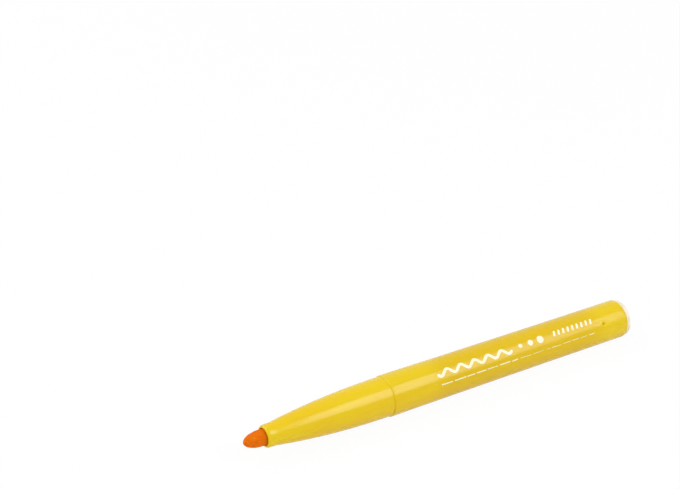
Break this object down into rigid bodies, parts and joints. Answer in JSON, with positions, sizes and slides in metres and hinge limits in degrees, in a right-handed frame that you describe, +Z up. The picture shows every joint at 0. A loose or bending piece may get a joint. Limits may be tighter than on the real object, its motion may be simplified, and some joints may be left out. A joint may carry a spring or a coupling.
{
  "type": "felt-tip pen",
  "caption": "Fat felt-tip pen lying uncapped: tapered nose, bullet nib, ink core inside a smooth barrel, and a ribbed vented cap that slides on along the axis.",
  "frame": {"origin": "on the ground under the middle of the pen and its cap as they lie in line", "axes": "+X towards the pen's rear end, +Z up; the pen's axis leans 0.36 degrees, down towards +X, because it lies on rims of unlike radius"},
  "size_m": [0.265, 0.0148, 0.0148],
  "materials": {
    "barrel_plastic": "glossy moulded yellow polypropylene",
    "nose_plastic": "glossy moulded yellow polypropylene",
    "nib_felt": "pressed fibre soaked with ink",
    "core_fibre": "soft fibre soaked with ink",
    "film": "thin clear film",
    "plug_plastic": "natural uncoloured polypropylene",
    "cap_plastic": "satin to glossy moulded yellow polypropylene",
    "seal_plastic": "satin moulded yellow polypropylene"
  },
  "bodies": {
    "pen": {"barrel": "barrel_plastic", "front_section": "nose_plastic", "nib": "nib_felt", "ink_core": "core_fibre", "core_film": "film", "rear_plug": "plug_plastic"},
    "cap": {"cap_shell": "cap_plastic", "cap_seal": "seal_plastic"}
  },
  "joints": [
    {"name": "cap_slide", "type": "slide", "parent": "pen", "child": "cap", "axis": [1, 0, -0.0064], "range_m": [0, 0.12174]}
  ]
}
